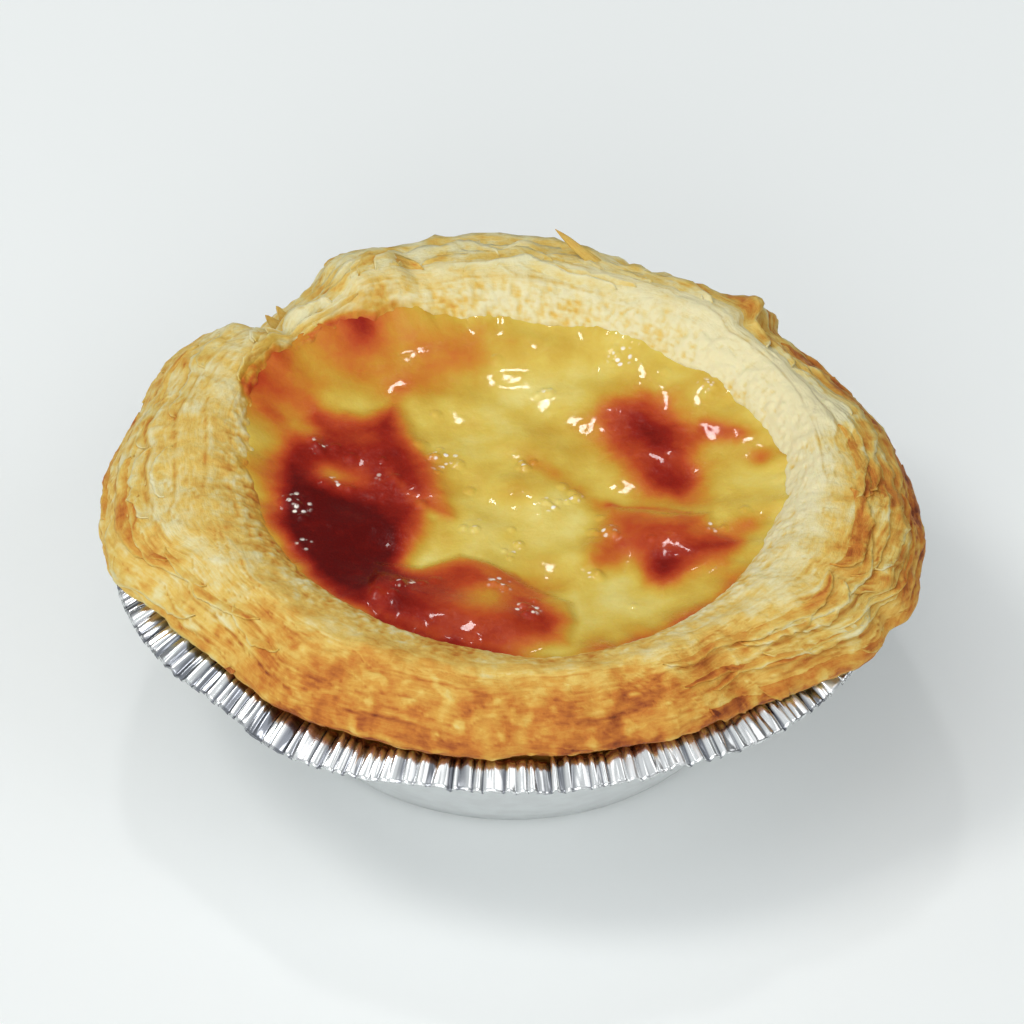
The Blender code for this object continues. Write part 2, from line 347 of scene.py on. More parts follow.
scorch = {
    "edgeWarp": 0.55, "warp": [(3.4, 1, 3), (1.3, 0.35, 4)],  # each wave has its size, amount and seed
    "least": 0.13, "mottle": [(7.0, 0.15, 5), (2.8, 0.10, 6)],
    # strongest value, softness of the line, depth inside it to the full value, lift as a blister, outline
    "patches": [
        {"name": "dark left", "most": 0.84, "soft": 1.7, "depth": 3.2, "raised": 0.16, "outline": [
            (-23.6, 9.4), (-19.9, 13), (-15.1, 12.6), (-12, 14), (-10.6, 12.2), (-9.8, 9.2), (-8.2, 5.5),
            (-6.8, 1.8), (-5.8, -3.2), (-7.8, -3.4), (-9, -6.4), (-10, -9.6), (-11.9, -11.9), (-13, -19.5),
            (-16.5, -18.6), (-18.9, -15.8), (-21.2, -11.8), (-23, -7), (-24, -0.3), (-23.6, 5.2)]},
        {"name": "darkest left", "most": 1.0, "soft": 2.4, "depth": 3.6, "outline": [
            (-23.2, 4.6), (-21.6, 6.2), (-20.2, 1.6), (-16.6, -1.4), (-13.6, -3.4), (-12.6, -8),
            (-12.6, -13), (-14.6, -17.6), (-18.4, -14.6), (-21.4, -9.4), (-23.2, -3)]},
        {"name": "front tongue", "most": 0.74, "soft": 1.0, "depth": 3.2, "raised": 0.42, "outline": [
            (-13.5, -10.5), (-9, -10.7), (-5.2, -9.1), (-2.3, -10.4), (0.2, -12.2), (3.1, -14.6),
            (5.8, -16.5), (6.3, -19.6), (5.5, -23.5), (-1.5, -25.5), (-6.1, -25), (-9.5, -23.5),
            (-14.5, -20)]},
        {"name": "right fold", "most": 0.66, "soft": 1.5, "depth": 3.6, "raised": 0.32, "outline": [
            (9.9, -0.8), (11.4, -1.9), (15.2, -3.2), (19.8, -3.4), (20, -6.4), (22.4, -8.2), (21.2, -11.2),
            (18.2, -12.8), (15, -15.5), (13.3, -14.1), (11.4, -10.7), (8.7, -11.8), (7.2, -10.7),
            (7.2, -7.8), (9.2, -3)]},
        {"name": "right spot", "most": 0.56, "soft": 2.7, "depth": 3.2, "outline": [
            (7.4, 12.3), (9, 15.8), (13, 17), (17, 15), (19.8, 8), (20.2, 2), (17.5, -1.6), (13.1, -0.4),
            (9.7, 4.7), (7.9, 8.3)]},
        {"name": "spot core", "most": 0.72, "soft": 2.4, "depth": 2.2, "outline": [
            (10.3, 13.2), (13.3, 14.2), (16.2, 10), (17, 6), (13.9, 6.2), (11.4, 9)]},
    ],
    "spots": [  # x, y, radius, amount
        (-16, -8.5, 5, 0.22), (-20.5, -4, 3, 0.25), (-11.5, -17.8, 3, 0.16), (4.2, -19.6, 2, 0.16),
        (15.2, -11.7, 2.5, 0.3), (14.2, 9.4, 2.4, 0.12), (9.5, 11, 2.6, 0.07), (-24.6, 17.6, 3, 0.3),
        (-21.4, 13.8, 2.6, 0.28), (-25.6, 9, 2.2, 0.3), (-26.4, 12.8, 1.6, 0.36), (-20.4, 24, 2.6, 0.26),
        (-12.4, 24.2, 2.6, 0.24), (-9, 18.6, 4, 0.16), (-15.5, 19.5, 2.4, 0.18), (25, 4.9, 1.4, 0.36),
        (27.8, 5.1, 1, 0.25), (19.8, 9.6, 1.8, 0.3), (22.6, 8.7, 1.6, 0.25), (-14.8, 22.8, 1.9, 0.46),
        (-22.8, 20.5, 3, 0.26), (-18.4, 21.5, 3.4, 0.2), (-24.2, 13.5, 2, 0.3), (-18.2, 17.2, 4.2, 0.16),
        (-5.4, 22.6, 4.6, 0.22), (1.5, 22.8, 3.6, 0.16), (3.2, 4.4, 1.7, 0.14), (6.2, 1.6, 1.6, 0.14),
        (0.9, 0.8, 1.9, 0.2), (8.6, -1.2, 1.5, 0.2), (-11.5, 17, 2.6, 0.16), (21.5, -8, 2.6, 0.35),
        (23.5, -5.6, 1.8, 0.26), (12.5, -22.4, 3, 0.2), (8, -23.3, 2, 0.3), (17, -19.5, 2.5, 0.22),
        (21.2, -14.2, 2.4, 0.22), (25.5, -1.5, 2, 0.12), (-16.9, -5.5, 3.8, 0.25), (-26, 1.5, 3.4, 0.24),
        (-24, -7.5, 2.6, 0.2), (-12.5, -13, 2, 0.2), (1.8, -12, 4.6, 0.12), (-13.4, 10.8, 3, 0.12),
        (15.9, 1.2, 4.2, 0.22), (13.8, 6.5, 6, 0.1), (19.2, -1.2, 2, 0.14), (-23.6, 10.9, 1.2, 0.3),
        (-25.4, 13, 1, 0.3), (-22, 17, 1.4, 0.16), (-17.6, 25.4, 1.6, 0.16), (-27, 16, 1.6, 0.2),
    ],
    "windows": [  # x, y, radius, amount taken away
        (-18.2, 2.9, 1.6, 0.42), (-2.5, -16.6, 3, 0.36), (4.6, -17.6, 2.2, 0.34), (-15, 9.6, 2.6, 0.2),
        (-15.6, 2.6, 1.8, 0.2), (-8.9, -1, 1.8, 0.14), (-20.4, 9.2, 1.6, 0.3), (10.2, -6.2, 1.3, 0.08),
        (4.8, -21.5, 1.4, 0.12), (-9, -8.8, 1.6, 0.16),
    ],
    "creases": [  # x and y of both ends, half width, amount
        (2, 5.3, 8.9, -0.6, 0.9, 0.09), (-12.3, 3.1, -8, -3, 0.6, -0.1), (19.5, 9.9, 24, 8.3, 0.9, 0.08),
        (9.6, -0.9, 17.8, -3, 0.35, 0.16),
    ],
}


def farFrom(x, y, x0, y0, x1, y1):  # distance from the line between two points
    along = ((x - x0) * (x1 - x0) + (y - y0) * (y1 - y0)) / ((x1 - x0) ** 2 + (y1 - y0) ** 2)
    along = np.clip(along, 0, 1)
    return np.hypot(x - x0 - along * (x1 - x0), y - y0 - along * (y1 - y0))


def insideBy(x, y, outline):  # distance inside a closed outline, negative outside it
    near = np.full(x.shape, 1e9)
    inside = np.zeros(x.shape, bool)
    for (x0, y0), (x1, y1) in zip(outline, outline[1:] + outline[:1]):
        near = np.minimum(near, farFrom(x, y, x0, y0, x1, y1))
        crosses = (y0 > y) != (y1 > y)
        inside ^= crosses & (x < x0 + (y - y0) * (x1 - x0) / (y1 - y0 if y1 != y0 else 1e-9))
    return np.where(inside, near, -near)


def scorchAt(x, y):
    warp = layeredNoise(x, y, 0, scorch["warp"])
    total = scorch["least"] + layeredNoise(x, y, 0, scorch["mottle"])
    for patch in scorch["patches"]:
        deep = insideBy(x, y, patch["outline"]) + scorch["edgeWarp"] * warp
        rise = 0.55 * eased(-patch["soft"], patch["soft"], deep) + 0.45 * eased(0, patch["depth"], deep)
        total = np.maximum(total, patch["most"] * rise + (1 - rise) * total)
    for spotX, spotY, size, amount in scorch["spots"]:
        total = total + amount * np.exp(-((x - spotX + 0.4 * warp) ** 2 + (y - spotY) ** 2) / size**2)
    for spotX, spotY, size, amount in scorch["windows"]:
        total = total - amount * np.exp(-((x - spotX) ** 2 + (y - spotY + 0.4 * warp) ** 2) / size**2)
    for x0, y0, x1, y1, wide, amount in scorch["creases"]:
        far = farFrom(x, y, x0, y0, x1, y1) + 0.25 * warp
        total = total + amount * np.exp(-(far / wide) ** 2)
    return np.clip(total, 0, 1)


custardTones = [
    (0, sRgb(228, 210, 122)), (0.14, sRgb(218, 190, 86)), (0.28, sRgb(206, 166, 62)),
    (0.4, sRgb(204, 140, 46)), (0.52, sRgb(201, 108, 40)), (0.66, sRgb(185, 70, 30)),
    (0.8, sRgb(151, 34, 17)), (0.92, sRgb(118, 17, 9)), (1, sRgb(92, 9, 6)),
]

# custard

custard = {
    "seed": 23, "radius": 26.2, "edgeHeight": 24.2, "sag": 1.3, "steps": 520, "rings": 158,
    "skin": [(4.4, 0.28, 10), (1.9, 0.03, 11), (0.9, 0.02, 12)],  # size, height and seed of its waves
    "crinkle": [(2.3, 0.16, 13), (1.0, 0.04, 14)],  # size, depth and seed of its creases
    "under": [(25.9, 22.0), (25.5, 20.5), (24.7, 15.2), (21.9, 7.9), (18.2, 5.4)], "floor": 5.0,
    "climbHeight": 2.1,
    "climb": [  # how far the edge has crept up the wall, from 0 to 1
        (0, 0.1), (20, 0.2), (50, 0.08), (80, 0.12), (100, 0.3), (118, 0.75), (135, 1), (152, 1),
        (170, 0.7), (188, 0.45), (205, 0.25), (230, 0.12), (265, 0.05), (290, 0.15), (310, 0.3),
        (335, 0.15),
    ],
    "bubbles": [  # x, y, radius, height
        (-9.1, 8, 0.9, 0.3), (-7.3, 6.5, 0.8, 0.26), (-5.4, 5, 0.8, 0.28), (-4.2, 1.3, 0.7, 0.22),
        (-7.6, 12.9, 0.6, 0.2), (1, 4.7, 0.8, 0.26), (5.1, 1.7, 0.7, 0.24), (6.6, 0.2, 0.8, 0.26),
        (3.4, -0.9, 0.6, 0.18), (3.7, 15.9, 0.8, 0.26), (10.3, 21.5, 0.6, 0.2), (20.1, 15.1, 0.6, 0.2),
        (9.8, -5.4, 1, 0.34), (1.5, -17.7, 0.8, 0.3), (2, -19.2, 1.1, 0.38), (-0.2, -9.1, 0.5, 0.18),
        (23.3, -3.2, 0.6, 0.2), (19.8, -6.2, 0.6, 0.2), (-11.8, 2.4, 0.9, 0.26), (-9.1, -1.3, 0.8, 0.24),
        (-4.9, -4.7, 0.6, 0.2), (0, -4.7, 0.5, 0.18), (-22.3, -2.1, 1.2, 0.36), (-19.8, 8, 1, 0.3),
        (-18.6, 1.3, 1.1, 0.34), (-11.3, -14.7, 0.9, 0.3), (-7.6, -13.2, 0.8, 0.26),
        (-13.5, -16.6, 0.8, 0.3), (-2, -14.4, 0.7, 0.22), (-20.8, -4.4, 0.7, 0.22), (-16.2, 5.6, 0.8, 0.24),
        (8.8, -3, 0.6, 0.2), (13.9, -7.4, 0.6, 0.16), (15.5, 18.2, 0.7, 0.18), (-1.5, 20.5, 0.8, 0.18),
        (12, -17.2, 0.6, 0.16),
    ],
    "clusters": [  # x, y, spread and how many small bubbles
        (-21.6, -2.4, 1.9, 16), (-19.4, 7.4, 1.4, 12), (-17.8, 1.6, 1.1, 8), (-6.8, 5.6, 2, 12),
        (-10.6, -15, 1.8, 12), (1.4, -18.4, 1.7, 14), (6, 0.4, 1.4, 9), (-1.2, -14.2, 1.6, 8),
        (9.6, -5.6, 1.2, 9), (3.6, 15.8, 1.2, 8), (11, 20.4, 1.6, 8), (20.4, -5.6, 1.3, 7),
        (-3.4, -4.4, 2.4, 4), (-20.6, -8.6, 1.2, 7), (-13.2, 3, 2.2, 4), (1.2, 4.6, 1.1, 10),
        (3.8, -1.2, 1.2, 9), (0, -7.6, 1.2, 9), (7.6, -11.6, 0.9, 7), (19.4, 15.4, 1.2, 7),
    ],
    "swells": [  # x, y, radius along x and y, height
        (-16.8, -5, 6, 6.2, 0.5), (-13, 8, 4.8, 5.8, 0.5), (-7, -17.5, 7.8, 5, 0.8),
        (1.5, -20, 6, 4.4, 0.5), (14, 9.3, 4.8, 6.8, 0.5), (15.6, -7, 6.4, 4.6, 0.8),
        (0.7, 22.5, 7, 3, 0.4), (1.5, 2, 3.4, 3, 0.35), (-4.5, -3, 3, 4, 0.25), (8.5, 14, 4, 3, 0.2),
    ],
}


def bubblePlaces():
    random = np.random.default_rng(custard["seed"])
    made = list(custard["bubbles"])
    for x, y, spread, count in custard["clusters"]:
        for k in range(count // 3):
            size = random.uniform(0.40, 0.75)
            offX, offY = random.normal(0, spread / 2), random.normal(0, spread / 2)
            made.append((x + offX, y + offY, size, size * 0.42))
    return made


def custardHeight(x, y, azimuth, radius, edge):  # height, scorch and froth of the top
    inward = 1 - eased(15.0, edge, radius)
    lift = -custard["sag"] * inward + 0.5 * noiseAt(x, y, 0, 6.25, 0) * (1 - eased(22.0, edge, radius))
    for swellX, swellY, wide, deep, tall in custard["swells"]:
        far = ((x - swellX) / wide) ** 2 + ((y - swellY) / deep) ** 2
        lift = lift + tall * np.exp(-far) * (1 - eased(23.5, edge, radius))
    for patch in scorch["patches"]:
        if "raised" in patch:  # these patches stand up as blisters with a clear edge
            step = eased(-0.6, 0.7, insideBy(x, y, patch["outline"]))
            lift = lift + patch["raised"] * step * (1 - eased(22.0, 25.0, radius))
    burnt = scorchAt(x, y)
    crinkle = sum(np.abs(noiseAt(x, y, 0, size, seed)) * -deep for size, deep, seed in custard["crinkle"])
    crinkle = crinkle * (0.25 + 0.35 * eased(0.4, 0.9, burnt)) * (1 - eased(20.0, 24.0, radius))
    lift = lift + layeredNoise(x, y, 0, custard["skin"]) + crinkle * (1 - eased(13.0, 17.0, y))
    for bubbleX, bubbleY, size, tall in bubblePlaces():
        far = np.hypot(x - bubbleX, y - bubbleY) / size
        lift = lift + tall * np.clip(1 - far**2, 0, 1) ** 1.3
    degrees = np.degrees(azimuth) % 360  # a thin brown line runs along the front
    front = eased(215, 245, degrees) * (1 - eased(318, 345, degrees))
    line = edge - radius - 0.5 - 0.5 * roundNoise(azimuth, 6.0, 27.0)
    burnt = np.clip(burnt + front * 0.22 * np.exp(-(line / 0.85) ** 2), 0, 1)
    lip = 0.2 * np.exp(-np.clip(edge - radius, 0, 9))
    ripple = 0.45 * roundNoise(azimuth, 5.0, 21.0) + 0.35 * roundNoise(azimuth, 13.0, 22.0)
    lift = lift + lip + ripple * eased(edge - 3, edge, radius)
    froth = 0 * x
    for frothX, frothY, spread, count in custard["clusters"]:
        near = np.exp(-((x - frothX) ** 2 + (y - frothY) ** 2) / (0.9 * spread) ** 2)
        froth = np.maximum(froth, near * min(1.0, count / 9))
    return custard["edgeHeight"] + lift, burnt, np.clip(froth, 0, 1)


def makeCustard():
    edge, steps, rings = custard["radius"], custard["steps"], custard["rings"]
    azimuth = np.arange(steps) / steps * 2 * math.pi
    radius = edge * (np.arange(1, rings + 1) / rings)[:, None]
    wave = mouthWave(azimuth, custard["edgeHeight"])
    around, across = np.broadcast_arrays(azimuth[None, :], radius)
    x, y = np.cos(around) * across, np.sin(around) * across
    out = (across + wave * across / edge) / across
    height, burnt, froth = custardHeight(x * out, y * out, around, across, edge)
    climb = atPlaces(custard["climb"], around)
    climb = climb + 0.2 * roundNoise(around, 7.0, 33.0) + 0.12 * roundNoise(around, 19.0, 34.0)
    creep = custard["climbHeight"] * eased(edge - 3.6, edge, across) ** 1.4 * np.clip(climb, 0, 1.1)
    out = out + (creep + 0.2 * eased(edge - 0.6, edge, across)) / across
    top = np.stack([x * out, y * out, height + creep], axis=-1)
    under = [turned(azimuth, wide + mouthWave(azimuth, low), low) for wide, low in custard["under"]]
    points = np.concatenate([top, np.array(under)]).reshape(-1, 3)
    points = np.concatenate([[[0, 0, top[0, :, 2].mean()]], points, [[0, 0, custard["floor"]]]])
    rest = np.zeros(len(under) * steps + 1)
    made = plainMesh("custard_baked", points, turnedFaces(rings + len(under), steps), {
        "scorch": np.concatenate([[burnt[0].mean()], burnt.ravel(), rest]),
        "froth": np.concatenate([[froth[0].mean()], froth.ravel(), rest])})
    finish, graph, shader = shaded("baked custard", {
        "Roughness": 0.30, "Specular IOR Level": 0.08, "Coat Roughness": 0.06, "Coat IOR": 1.45,
        "Subsurface Weight": 0.18, "Subsurface Scale": 0.001, "Subsurface Radius": (1.0, 0.5, 0.15),
    })
    where = graph.add("ShaderNodeTexCoord", output=3)
    burnt, froth = graph.stored("scorch"), graph.stored("froth")
    coarse, fine = graph.speckle(where, 2.4, 4.0, 0.6), graph.speckle(where, 0.7, 3.0, 0.6)
    tone = (burnt + (coarse - 0.5) * 0.20 + (fine - 0.5) * 0.10).kept()
    colour = graph.ramp(custardTones, tone)
    bubble = graph.add("ShaderNodeTexVoronoi", {"feature": "SMOOTH_F1"},
                       {"Vector": where, "Scale": 1000 / 0.8, "Smoothness": 0.2})
    # white specks where the small bubbles cluster: partly the custard's pale bubbles, partly painted glints
    # on them
    foamAndGlint = (1.0 - bubble.between(0.20, 0.40)) * froth.between(0.28, 0.62) * coarse.between(0.40, 0.52)
    graph.feed(shader.inputs["Base Color"], graph.mixed(foamAndGlint * 0.92, colour, sRgb(255, 249, 236)))
    graph.feed(shader.inputs["Roughness"], 0.20 + fine * 0.16)
    coat = 0.40 - tone.between(0.6, 0.95) * 0.18 + froth.between(0.1, 0.5) * 0.2
    graph.feed(shader.inputs["Coat Weight"], coat)
    domes = (0.5 - bubble).kept(0.0, 0.5) * froth.between(0.15, 0.6)
    graph.bump(shader, fine * 0.8 + coarse * 0.4 + domes * 1.6, 0.0001, 0.8)
    made.data.materials.append(finish)
    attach(made, "root")
    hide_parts("custard_filling")
    print("custard:", len(made.data.polygons), "faces")


# pastry

pastry = {
    "steps": 860, "spacing": 0.245, "hiddenBrown": 0.4,
    "before": [(10, 4.6), (18.5, 4.9), (22.2, 7.5), (25.0, 15.0), (25.7, 20.5)],  # rings under the custard
    "after": [  # rings inside the tin
        (34.5, 18.4), (34.2, 16.6), (33.0, 15.0), (27.8, 8.0), (23.4, 1.7), (21.9, 0.7), (10, 0.7),
    ],
    "lumps": [(4.5, 0.36, 61), (1.8, 0.12, 62)],  # size, height and seed
    "mottle": [(2.6, 0.20, 72), (1.1, 0.12, 73)],
    "rim": [
        (26, 23.4), (26.1, 24.6), (28.3, 26.4), (31.6, 27.4), (34.8, 26.8), (37.9, 25.1), (40, 22.6),
        (39.3, 21), (36.6, 20),
    ],
    "ledge": [(36.5, 19.7), (35.4, 19.3)],
    "rimOut": [  # how far the outside of the rim stands out
        (2, 0.2), (14, -0.8), (25, -2.2), (36, -2.8), (43.5, -2.8), (47, -0.8), (58, -1.8), (70, -1.8),
        (80, 0.2), (102, 0.2), (116, 0.1), (128, -1.9), (134, -2.2), (137.4, -3.3), (140, 0.4), (150, 1),
        (162, 0.3), (180, 1.4), (194, 1.7), (207, -1.6), (220, -2.5), (231, -1.9), (243, -2.2), (255, -2.3),
        (263, -1.9), (268, -2.1), (273, -2.6), (280, -2.1), (288, -2.2), (295, -1.6), (302, -2),
        (307, -2.6), (315, -1.4), (322, 0.1), (330, 1.9), (333, 1.6), (337, 2.7), (346, 2),
    ],
    "crestUp": [  # how far its crest stands up
        (0, 0.2), (40, -0.3), (60, 0), (78, -0.4), (92, 0.1), (108, 0.1), (112, 1.1), (120, 1.3),
        (123.5, 0), (131, -0.5), (136, -1.3), (142, 0.1), (175, 0.2), (225, 0.2), (275, 0), (310, -0.3),
        (340, 0.2),
    ],
    "layerDepth": [  # how strong the leaves stand out on the outside
        (0, 0.78), (30, 0.7), (60, 0.6), (90, 0.58), (130, 0.6), (160, 0.65), (190, 0.65), (215, 0.55),
        (240, 0.36), (270, 0.22), (300, 0.34), (318, 0.5), (335, 0.74),
    ],
    "outerBrown": [  # browning of the outside, from 0 to 1, then of the crest and of the inner wall
        (0, 0.48), (30, 0.46), (60, 0.38), (90, 0.3), (110, 0.24), (132, 0.24), (150, 0.32), (180, 0.36),
        (210, 0.38), (238, 0.68), (270, 0.68), (288, 0.72), (308, 0.54), (330, 0.42),
    ],
    "crestBrown": [
        (0, -0.06), (25, -0.1), (60, 0.06), (90, 0.14), (150, 0.2), (180, 0.22), (210, 0.32), (240, 0.44),
        (270, 0.4), (300, 0.34), (330, 0.12),
    ],
    "innerBrown": [
        (0, 0.04), (60, 0.03), (100, 0.03), (135, 0.08), (165, 0.18), (190, 0.18), (215, 0.05),
        (250, -0.03), (300, 0), (340, 0.04),
    ],
    "footBrown": [  # more browning where the wall meets the custard
        (0, 0.06), (90, 0.06), (130, 0.22), (165, 0.44), (200, 0.42), (225, 0.26), (250, 0.12), (330, 0.08),
    ],
    "brownFrom": [  # how far along the section the outside's browning begins
        (0, 5.4), (8, 6), (17, 10), (30, 9.5), (60, 7), (90, 7.5), (200, 7.5), (300, 7.2), (330, 5.8),
    ],
    "edgeBrown": [  # more browning low on the outside
        (0, 0.2), (25, 0.18), (50, 0.08), (80, 0), (300, 0), (325, 0.06), (345, 0.16),
    ],
    "glazeReach": [  # how far the custard's film climbs the wall
        (0, 1.6), (60, 1.6), (100, 3.6), (122, 6.6), (145, 7.6), (166, 6.4), (185, 5), (205, 2.8),
        (225, 1.6), (270, 1.2), (300, 2.4), (325, 2.2),
    ],
    "layers": [  # pitch, depth, wander and seed of each set of leaves
        {"pitch": 2.7, "depth": 0.46, "wander": 1.9, "wanderSize": 11.0, "seed": 31},
        {"pitch": 1.15, "depth": 0.20, "wander": 2.4, "wanderSize": 8.0, "seed": 47},
    ],
}


def alongRim():  # the rim's section, the way along it and its outward direction
    path = smoothPath(pastry["rim"], pastry["spacing"])
    path = np.concatenate([path, smoothPath([pastry["rim"][-1]] + pastry["ledge"], 0.3)[1:]])
    way = np.concatenate([[0], np.cumsum(np.hypot(*np.diff(path, axis=0).T))])
    along = np.gradient(path, axis=0)
    along /= np.hypot(*along.T)[:, None]
    outward = np.stack([-along[:, 1], along[:, 0]], axis=1)
    return path, way, outward


def leafRelief(azimuth, x, y, z, way, layer):  # height, paleness of the edge, and depth of the gap under it, which is darkened as painted shade
    size, seed = layer["wanderSize"], layer["seed"]
    wander = layer["wander"] * layeredNoise(x, y, z, [(size, 1, seed), (size / 3.5, 0.25, seed + 1)])
    phase = (way + wander + 0.8 * np.sin(azimuth * 2 + 1)) / layer["pitch"]
    index, share = np.floor(phase), phase % 1
    alive = noiseAt(np.cos(azimuth) * 5, np.sin(azimuth) * 5, index * 3.7, 1.0, seed + 2)
    alive = eased(-0.28, 0.30, alive)
    saw = share**1.4 * (1 - eased(0.84, 1.0, share))
    lip = np.exp(-((share - 0.80) / 0.10) ** 2) * alive
    gap = (np.exp(-((share - 0.97) / 0.07) ** 2) + np.exp(-((share + 0.03) / 0.07) ** 2)) * alive
    return saw * alive, lip, gap


def rimPlace(azimuth, radius, height):  # the rim's uneven places, as on the solid
    upper = eased(19.2, 21.2, height)
    out = eased(28.5, 37.5, radius) * upper * atPlaces(pastry["rimOut"], azimuth)
    up = eased(26.2, 31.0, radius) * eased(19.2, 25.0, height) * atPlaces(pastry["crestUp"], azimuth)
    mouth = (1 - eased(26.2, 32.0, radius)) * mouthWave(azimuth, height)
    flangeOut, flangeUp = flangeMoves(azimuth, radius)
    lower = (1 - upper) * eased(34.0, 35.0, radius) * eased(18.0, 19.3, height)
    return radius + mouth + out + lower * atPlaces(tin["ledgeOut"], azimuth), height + up + lower * flangeUp


def rimSurface(azimuth, way, lift=0.0):  # place and finish of the rim at an azimuth and a way along it
    path, ways, outwards = alongRim()
    radius, height = np.interp(way, ways, path[:, 0]), np.interp(way, ways, path[:, 1])
    outX, outZ = np.interp(way, ways, outwards[:, 0]), np.interp(way, ways, outwards[:, 1])
    x, y, z = np.cos(azimuth) * radius, np.sin(azimuth) * radius, height
    outside, inside = eased(6.5, 11.5, way), 1 - eased(3.0, 7.5, way)
    strength = (0.4 + 0.6 * outside) * (1 - 0.7 * inside)
    strength = strength * atPlaces(pastry["layerDepth"], azimuth) * (1 - eased(20.5, 22.0, way))
    relief, lips, gaps = 0, 0, 0
    for layer in pastry["layers"]:
        saw, lip, gap = leafRelief(azimuth, x, y, z, way, layer)
        relief = relief + layer["depth"] * saw * strength
        share = min(1.0, layer["depth"] / 0.3)
        lips, gaps = np.maximum(lips, lip * (0.6 + 0.4 * share)), np.maximum(gaps, gap * share)
    lump = layeredNoise(x, y, z, pastry["lumps"])
    crumb, grit = noiseAt(x, y, z, 0.95, 63), noiseAt(x, y, z, 0.5, 65)
    blister = eased(0.2, 0.45, noiseAt(x, y, z, 1.6, 64))
    torn = inside * (0.62 + 0.38 * np.sin(azimuth))
    relief = relief + lump * eased(1.5, 5, way) + crumb * (0.08 + 0.20 * torn) + grit * (0.04 + 0.14 * torn)
    relief = relief + (0.10 * blister - 0.30) * outside
    smooth = 2.2 + 2.2 * atPlaces(custard["climb"], azimuth)  # the custard smooths the wall that it climbs
    relief = relief * eased(-0.4, smooth, way) * (1 - 0.7 * eased(22.4, 23.4, way)) + lift
    wide, tall = rimPlace(azimuth, radius, height)
    points = turned(azimuth, wide + relief * outX, tall + relief * outZ)

    # browning: by the side of the tart, by leaf, and by small mottles; the gaps under the leaves get
    # painted shade
    begun = atPlaces(pastry["brownFrom"], azimuth)
    beyond = eased(begun, begun + 6.0, way)
    foot = 1 - eased(0.0, 3.4, way + 0.5 * noiseAt(x, y, z, 1.6, 84))
    side = 0.06 * eased(15, 19, way) + 0.12 * eased(20.4, 21.8, way) - 0.03 * inside
    shares = {"outerBrown": beyond, "crestBrown": 1 - beyond, "edgeBrown": eased(13.0, 16.5, way),
              "footBrown": foot, "innerBrown": 1 - eased(5.0, 11.0, way)}
    side = side + sum(atPlaces(pastry[key], azimuth) * share for key, share in shares.items())
    mottle = noiseAt(x, y, z, 5.0, 71) * (0.16 + 0.06 * inside) + layeredNoise(x, y, z, pastry["mottle"])
    # painted shade: the gaps under the leaves are made browner
    brown = side + mottle * (0.8 + 0.2 * outside) + (0.32 * gaps - 0.24 * lips) * strength**0.5
    brown = brown - 0.24 * blister * outside * (1 - strength) - grit * 0.30 * inside - crumb * 0.24 * inside
    reach = atPlaces(pastry["glazeReach"], azimuth)
    drawn = 1 - eased(0.55 * reach, 1.15 * reach, way + 1.4 * noiseAt(x, y, z, 2.2, 81))
    patchy = 0.92 + 0.45 * noiseAt(x, y, z, 1.9, 82) + 0.25 * noiseAt(x, y, z, 0.8, 83)
    glaze = np.clip(scorchAt(points[..., 0], points[..., 1]) * drawn * patchy, 0, 1)
    # shade marks the gaps under the leaves, where painted shade darkens the colour
    values = {"brown": np.clip(brown, -0.2, 1.2), "glaze": glaze, "shade": np.clip(gaps * strength, 0, 1),
              "fibre": np.clip(strength * 1.1 + 0.15, 0, 1)}
    drift = way + layeredNoise(x, y, z, [(11.0, 1.9, 31), (3.0, 0.5, 33)])
    grain = np.stack([drift, np.cos(azimuth) * 6.5, np.sin(azimuth) * 6.5], axis=-1)
    return points, values, grain


def makePastry(finish):
    steps = pastry["steps"]
    ways = alongRim()[1]
    around = np.arange(steps) / steps * 2 * math.pi
    azimuth, way = np.meshgrid(around, ways)
    rim, found, grainWay = rimSurface(azimuth, way)
    before, after = ([turned(around, *rimPlace(around, radius + 0 * around, height + 0 * around))
                      for radius, height in pastry[key]] for key in ("before", "after"))
    points = np.concatenate([np.array(before), rim, np.array(after)]).reshape(-1, 3)
    points = np.concatenate([[[0, 0, pastry["before"][0][1]]], points, [[0, 0, pastry["after"][-1][1]]]])
    rings = len(before) + len(rim) + len(after)
    first, last = len(before) * steps + 1, len(after) * steps + 1
    values = {}
    for key, array in found.items():
        value = pastry["hiddenBrown"] if key == "brown" else 0.0
        values[key] = np.concatenate([np.full(first, value), array.ravel(), np.full(last, value)])
    grain = np.concatenate([np.zeros((first, 3)), grainWay.reshape(-1, 3), np.zeros((last, 3))])
    made = plainMesh("pastry_baked", points, turnedFaces(rings, steps), values, {"grain": grain})
    made.data.materials.append(finish)
    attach(made, "root")
    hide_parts("pastry_crust")
    print("pastry:", len(made.data.polygons), "faces")


